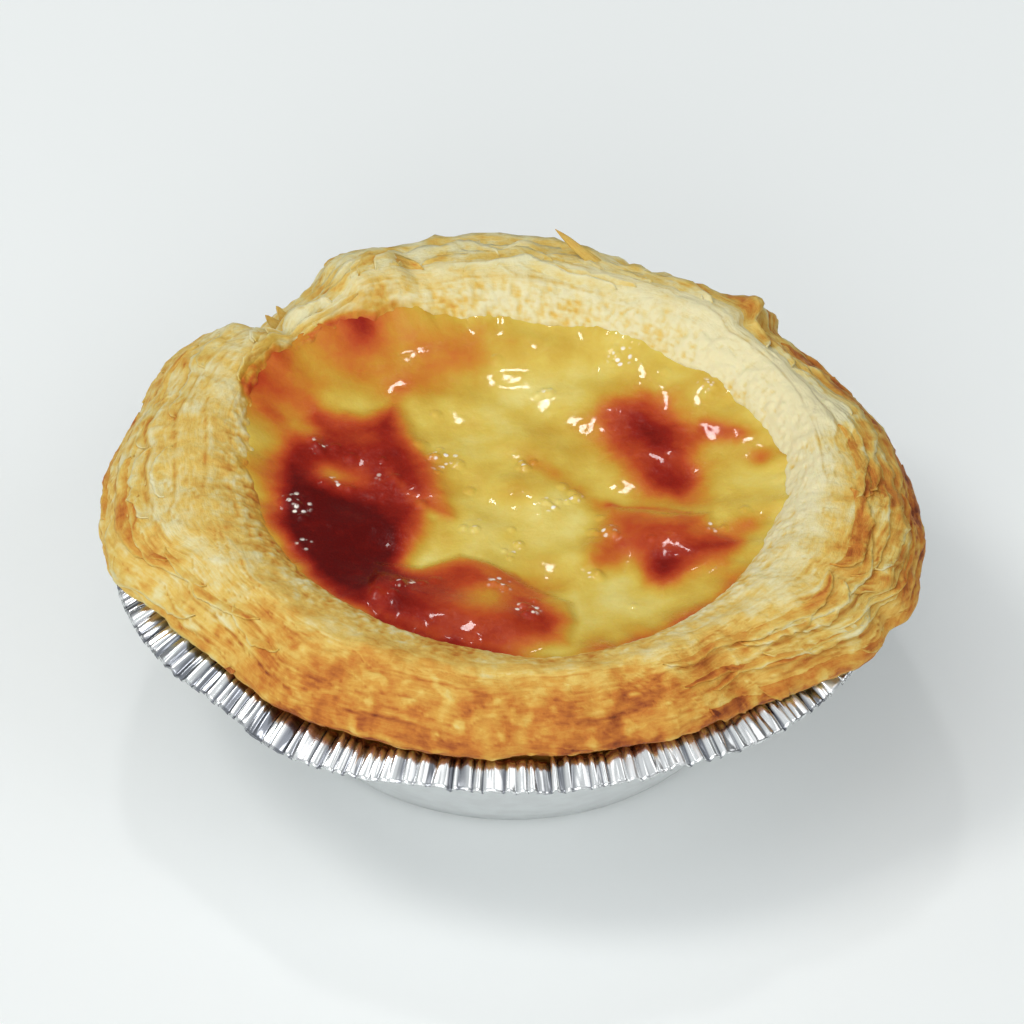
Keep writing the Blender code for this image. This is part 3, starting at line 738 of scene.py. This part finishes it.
leaves = {
    "rows": 34, "across": 6, "sheet": 0.18, "seed": 11,
    "halfTurn": 0.795833,  # degrees on each side of a leaf's middle for each millimetre of its length
    "tints": (-0.12, 0.18),
    "sliverRows": 9, "sliverAcross": 4, "sliverFacing": (0.3, -0.6, 0.75),
    "sliverFinish": {"brown": 0.42, "glaze": 0.0, "shade": 0.0, "fibre": 0.6},
    "groups": [  # first and last azimuth, count, then ranges of place on the section, length, width, lift
        (-48, 42, 34, (9.5, 19.5), (7, 24), (1.0, 2.2), (0.08, 0.34)),
        (150, 225, 14, (10.0, 18.5), (6, 18), (0.9, 2.0), (0.02, 0.12)),
        (42, 150, 34, (6.5, 19.0), (7, 22), (1.2, 2.6), (0.05, 0.30)),
    ],
    "slivers": [  # foot, tip and width of thin flakes that stick up
        ((9.8, 31.8, 25.6), (4.4, 34.1, 29.7), 1.7), ((-23.6, 24.2, 24.6), (-25.1, 25.0, 25.9), 1.5),
        ((-23.0, 25.4, 24.9), (-24.0, 26.2, 26.1), 1.3),
    ],
    "named": [  # leaves that stand out: azimuth, place along the section, length, width, lift and browning
        (97, 9.6, 30, 3.4, 0.8, 0.1), (113, 8.8, 8, 2.2, 0.5, 0.22), (104, 9, 15, 3, 0.7, -0.06),
        (72, 9.2, 26, 2.8, 0.7, 0.05), (48, 10.6, 15, 3, 0.8, 0.12), (133, 8.4, 9, 2.4, 0.9, -0.1),
        (321, 17.6, 13, 3, 0.9, 0.1), (352, 13, 26, 2.8, 0.35, 0), (12, 12, 22, 2.6, 0.4, 0),
        (309, 18, 10, 2.6, 0.6, 0.12),
    ],
}


def makeLeaves(finish):  # loose leaves of pastry that lie on the rim, fixed on their inner side
    random = np.random.default_rng(leaves["seed"])
    wanted = [list(leaf) for leaf in leaves["named"]]
    for first, last, count, places, lengths, widths, lifts in leaves["groups"]:
        for k in range(count):
            spread = (k + random.uniform(0.1, 0.9)) / count
            ranges = (places, lengths, widths, lifts, leaves["tints"])
            wanted.append([first + (last - first) * spread] + [random.uniform(*ends) for ends in ranges])
    allPoints, allFaces, allGrain = [], [], []
    allValues = {"brown": [], "glaze": [], "shade": [], "fibre": []}

    def keep(points, found, grain, rows, across):
        allFaces.extend(stripFaces(rows, across, sum(len(part) for part in allPoints)))
        allPoints.append(points.reshape(-1, 3))
        allGrain.append(grain.reshape(-1, 3))
        for key, values in allValues.items():
            values.append(np.broadcast_to(found[key], (rows, across)).ravel())

    rows, across = leaves["rows"], leaves["across"]
    along, over = np.meshgrid(np.linspace(0, 1, rows), np.linspace(0, 1, across), indexing="ij")
    for number, (azimuth, place, length, width, lift, tint) in enumerate(wanted):
        half = np.radians(length * leaves["halfTurn"])
        turn = np.radians(azimuth) + (along * 2 - 1) * half
        taper = np.clip(1 - (along * 2 - 1) ** 2, 0, 1) ** 0.45
        ragged = 1 + 0.45 * noiseAt(along * length / 2.4, 0 * along, number * 5.1, 1.0, 90)
        ragged = ragged + 0.18 * noiseAt(along * length / 0.7, 0 * along, number * 3.3, 1.0, 91)
        drift = 1.4 * noiseAt(along * length / 9, 0 * along, number * 2.7, 1.0, 92)
        way = np.clip(place + drift + over * width * taper * ragged - 0.6, 5.0, 22.2)
        uneven = 1 + 0.8 * noiseAt(along * length / 3.2, over, number * 1.9, 1.0, 93)
        raised = 0.10 - 0.30 * (1 - over) ** 2 + lift * over**1.6 * taper * uneven
        points, found, grain = rimSurface(turn, way, raised)
        rim = eased(0.72, 1.0, over) * eased(0.0, 0.4, taper)
        found["brown"] = found["brown"] + tint - 0.12 * rim + 0.08 * (1 - rim)
        # the loose leaves get less of the painted shade in their gaps
        found["shade"] = found["shade"] * 0.3
        keep(points, found, grain, rows, across)

    rows, across = leaves["sliverRows"], leaves["sliverAcross"]
    along, over = np.meshgrid(np.linspace(0, 1, rows), np.linspace(-0.5, 0.5, across), indexing="ij")
    for foot, tip, width in leaves["slivers"]:
        foot, tip = np.array(foot), np.array(tip)
        sideways = np.cross(tip - foot, leaves["sliverFacing"])
        sideways /= np.linalg.norm(sideways)
        rough = (1 - along) ** 0.7 * (1 + 0.3 * noiseAt(along * 5, over * 2, foot[0], 1.0, 95))
        points = foot + (tip - foot) * along[..., None] + sideways * (over * rough * width)[..., None]
        grain = np.stack([over * 3, along * 2, 0 * over], axis=-1)
        keep(points, leaves["sliverFinish"], grain, rows, across)
    made = plainMesh("pastry_leaves", np.concatenate(allPoints), allFaces,
                     {key: np.concatenate(arrays) for key, arrays in allValues.items()},
                     {"grain": np.concatenate(allGrain)})
    made.data.materials.append(finish)
    wall = made.modifiers.new("sheet", "SOLIDIFY")
    wall.thickness, wall.offset = leaves["sheet"] / 1000, 0.0
    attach(made, "root")
    print("leaves:", len(wanted), "with", len(made.data.polygons), "faces")


pastryTones = [
    (0, sRgb(229, 219, 174)), (0.18, sRgb(224, 207, 147)), (0.36, sRgb(222, 188, 98)),
    (0.54, sRgb(210, 156, 66)), (0.72, sRgb(194, 118, 44)), (0.88, sRgb(160, 82, 32)),
    (1, sRgb(112, 50, 22)),
]


def pastryFinish(name):
    finish, graph, shader = shaded(name, {
        "Roughness": 0.55, "Specular IOR Level": 0.22, "Subsurface Weight": 0.12, "Subsurface Scale": 0.001,
        "Subsurface Radius": (0.8, 0.45, 0.2),
    })
    where = graph.add("ShaderNodeTexCoord", output=3)
    brown, glaze, shade, fibre = (graph.stored(key) for key in ("brown", "glaze", "shade", "fibre"))
    grain = graph.stored("grain", 1)
    strand, thread = graph.grained(grain, 2.6, 5.0, 0.62), graph.grained(grain, 7.0, 3.0, 0.6)
    crumb, speck = graph.speckle(where, 0.55, 4.0, 0.6), graph.speckle(where, 1.6, 3.0, 0.5)
    tone = brown + (strand - 0.5) * (fibre * 0.5 + 0.10) + (crumb - 0.5) * 0.22 + (speck - 0.5) * 0.30
    colour = graph.ramp(pastryTones, tone.kept())
    syrup = graph.ramp(custardTones, (glaze + (crumb - 0.5) * 0.12).kept())
    covered = glaze.between(0.12, 0.42)
    colour = graph.mixed(covered, colour, syrup)
    # painted shade: a dark brown laid into the gaps under the leaves
    colour = graph.mixed(shade * 0.55, colour, sRgb(120, 62, 28))
    graph.feed(shader.inputs["Base Color"], colour)
    graph.feed(shader.inputs["Roughness"], 0.60 - covered * 0.28 + (crumb - 0.5) * 0.2)
    lines = (strand * 0.8 + thread * 0.4) * fibre + crumb * 0.5 + speck * 0.4
    graph.bump(shader, lines, 0.0004, 0.6)
    return finish


# foil tin, made by nodes from its sizes

def tinTree():
    tree = bpy.data.node_groups.new("pleated tin", "GeometryNodeTree")
    graph = Graph(tree)
    wanted = {
        "Steps": ("NodeSocketInt", tin["pleats"] * tin["stepsInPleat"] + 1),
        "Rows": ("NodeSocketInt", tin["rowsInBase"] + tin["rowsInWall"] + tin["rowsInFlange"] + 1),
        "Finish": ("NodeSocketMaterial", None),
    }
    sizes = {
        "Base radius": "baseRadius", "Wall radius": "wallTopRadius", "Flange radius": "flangeRadius",
        "Wall height": "wallTopHeight", "Flange height": "flangeHeight", "Pleats": "pleats",
        "Pleat depth": "pleatDepth", "Droop": "droop", "Top at": "topAt", "Seed": "seed",
    }
    for label, key in sizes.items():
        wanted[label] = ("NodeSocketFloat", tin[key])
    for label, (kind, value) in wanted.items():
        socket = tree.interface.new_socket(label, in_out="INPUT", socket_type=kind)
        if value is not None:
            socket.default_value = value
    tree.interface.new_socket("Geometry", in_out="OUTPUT", socket_type="NodeSocketGeometry")
    source = tree.nodes.new("NodeGroupInput")
    given = {label: Field(graph, source.outputs[label]) for label in wanted}
    counts = {"Vertices X": given["Steps"], "Vertices Y": given["Rows"]}
    mesh = graph.add("GeometryNodeMeshGrid", {}, {"Size X": 1.0, "Size Y": 1.0, **counts})
    place = graph.add("ShaderNodeSeparateXYZ", {}, {0: graph.add("GeometryNodeInputPosition")})
    across, along = place, Field(graph, place.socket.node.outputs[1])
    azimuth = (across + 0.5) * (2 * math.pi)
    row = (along + 0.5) * (given["Rows"] - 1)
    base = (row / tin["rowsInBase"]).kept()
    wall = ((row - tin["rowsInBase"]) / tin["rowsInWall"]).kept()
    flange = ((row - tin["rowsInBase"] - tin["rowsInWall"]) / tin["rowsInFlange"]).kept()
    cosine, sine = azimuth.maths("COSINE"), azimuth.maths("SINE")

    def wobble(label):
        scale, seed, detail, amount = tin["wobbles"][label]
        place = {0: cosine * scale, 1: sine * scale, 2: given["Seed"] + seed}
        point = graph.add("ShaderNodeCombineXYZ", {}, place)
        return (graph.grained(point, 1.0, detail, 0.5) - 0.5) * (2 * amount)

    turn = azimuth * given["Pleats"] + wobble("crowding") + wobble("jitter") + flange * wobble("fanning")
    wave = turn.maths("SINE").maths("ARCSINE") * 0.64 + (turn * 2 + wobble("doubling")).maths("SINE") * 0.22
    deep = (wobble("depth") + 0.9).kept(0.2, 1.8)
    grown = (flange * 5).kept() * (1.0 - 0.15 * flange)
    pleat = wave * deep * grown * given["Pleat depth"] * 0.5
    rise = (flange / given["Top at"]).kept()
    fall = ((flange - given["Top at"]) / (1.0 - given["Top at"])).kept() ** 1.25
    arch = (rise * (2.0 - rise) - fall) * given["Droop"]
    tilt = (flange - 0.5) * fall * wobble("tilt")
    arch = arch * (1.0 + wobble("arch"))
    crease = (0.25 - wobble("crease").maths("ABSOLUTE")) * wall * (1 - wall * 0.4) * 0.16
    radius = base * given["Base radius"] + wall * (given["Wall radius"] - given["Base radius"])
    radius = radius + flange * (given["Flange radius"] - given["Wall radius"])
    height = wall * given["Wall height"] + flange * (given["Flange height"] - given["Wall height"])
    radius = radius + crease + pleat * 0.3
    height = height + pleat + arch + tilt
    spot = graph.add("ShaderNodeCombineXYZ", {}, {0: radius * cosine, 1: radius * sine, 2: height})
    inMetres = graph.add("ShaderNodeVectorMath", {"operation": "SCALE"}, {0: spot, "Scale": 0.001})

    # painted light on the foil: shade and dark reflections painted into the hollows of the pleats, more at
    # the front left, and a painted brown reflection of the pastry, with its shade, on the flange close to
    # it
    leftFront = (cosine * -0.82 - sine * 0.57).kept() ** 3
    paintedValleyShade = 0.40 - wave * deep.kept(0.3, 1.2) * 0.6 + wobble("fold") + leftFront * 0.45 - tilt * 0.5
    paintedValleyShade = paintedValleyShade.kept() * grown
    # painted reflection of the pastry, with its shade, on the flange close to the pastry
    near = (1.1 - flange * 1.8 + wobble("near")).kept() * grown
    for label, value in (("fold", paintedValleyShade), ("near", near)):
        mesh = graph.add("GeometryNodeStoreNamedAttribute", {"data_type": "FLOAT", "domain": "POINT"},
                         {"Geometry": mesh, "Name": label, "Value": value})
    moved = graph.add("GeometryNodeSetPosition", {}, {"Geometry": mesh, "Position": inMetres})
    joined = graph.add("GeometryNodeMergeByDistance", {}, {"Geometry": moved, "Distance": 0.000004})
    real = graph.add("GeometryNodeRealizeInstances", {}, {0: joined})
    finished = graph.add("GeometryNodeSetMaterial", {}, {"Geometry": real, "Material": given["Finish"]})
    target = tree.nodes.new("NodeGroupOutput")
    tree.links.new(finished.socket, target.inputs[0])
    return tree


def madePlain(name, tree, settings):  # runs a node tree and keeps its result as a plain mesh
    made = placed(name, bpy.data.meshes.new(name))
    modifier = made.modifiers.new("nodes", "NODES")
    modifier.node_group = tree
    for item in tree.interface.items_tree:
        if item.name in settings:
            modifier[item.identifier] = settings[item.name]
    plain = bpy.data.meshes.new_from_object(made.evaluated_get(bpy.context.evaluated_depsgraph_get()))
    made.modifiers.clear()
    made.data = plain
    plain.name = name
    return made


def foilFinish():
    finish, graph, shader = shaded("crimped foil", {"Metallic": 1.0, "Base Color": sRgb(228, 230, 230)})
    where = graph.add("ShaderNodeTexCoord", output=3)
    fold, near = graph.stored("fold"), graph.stored("near")
    smudge, fine = graph.speckle(where, 2.4, 3.0, 0.5), graph.speckle(where, 0.9, 3.0, 0.6)
    colour = graph.mixed(smudge.between(0.3, 0.7), sRgb(238, 240, 240), sRgb(231, 232, 232))
    # painted shade and dark reflections in the hollows of the pleats
    colour = graph.mixed(fold.between(0.35, 0.95) * 0.9, colour, sRgb(100, 104, 114))
    # painted brown reflection of the pastry, with its shade, on the flange close to it
    colour = graph.mixed(near.between(0.3, 0.9) * 0.6, colour, sRgb(176, 124, 72))
    graph.feed(shader.inputs["Base Color"], colour)
    graph.feed(shader.inputs["Roughness"], 0.40 - (fold + near).between(0.0, 0.1) * 0.22)
    graph.bump(shader, smudge * 0.3 + fine * 0.25, 0.0001, 0.25)
    return finish


def makeTin():
    made = madePlain("foil_tin_pleated", tinTree(), {"Finish": foilFinish()})
    count = len(made.data.vertices)
    points = np.empty(count * 3)
    made.data.vertices.foreach_get("co", points)
    points = points.reshape(-1, 3) * 1000
    azimuth, radius = np.arctan2(points[:, 1], points[:, 0]), np.hypot(points[:, 0], points[:, 1])
    out, up = flangeMoves(azimuth, np.minimum(radius, tin["flangeRadius"]))
    radius = radius + out
    points = turned(azimuth, radius, points[:, 2] + up)
    made.data.vertices.foreach_set("co", (points / 1000).ravel())
    made.data.shade_smooth()
    wall = made.modifiers.new("sheet", "SOLIDIFY")
    wall.thickness, wall.offset = tin["sheet"] / 1000, -1.0
    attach(made, "root")
    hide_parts("foil_tin")
    print("tin:", len(made.data.polygons), "faces")


placeCamera()
lightScene()
layFloor()
makeTin()
pastryLook = pastryFinish("baked pastry")
makePastry(pastryLook)
makeLeaves(pastryLook)
makeCustard()
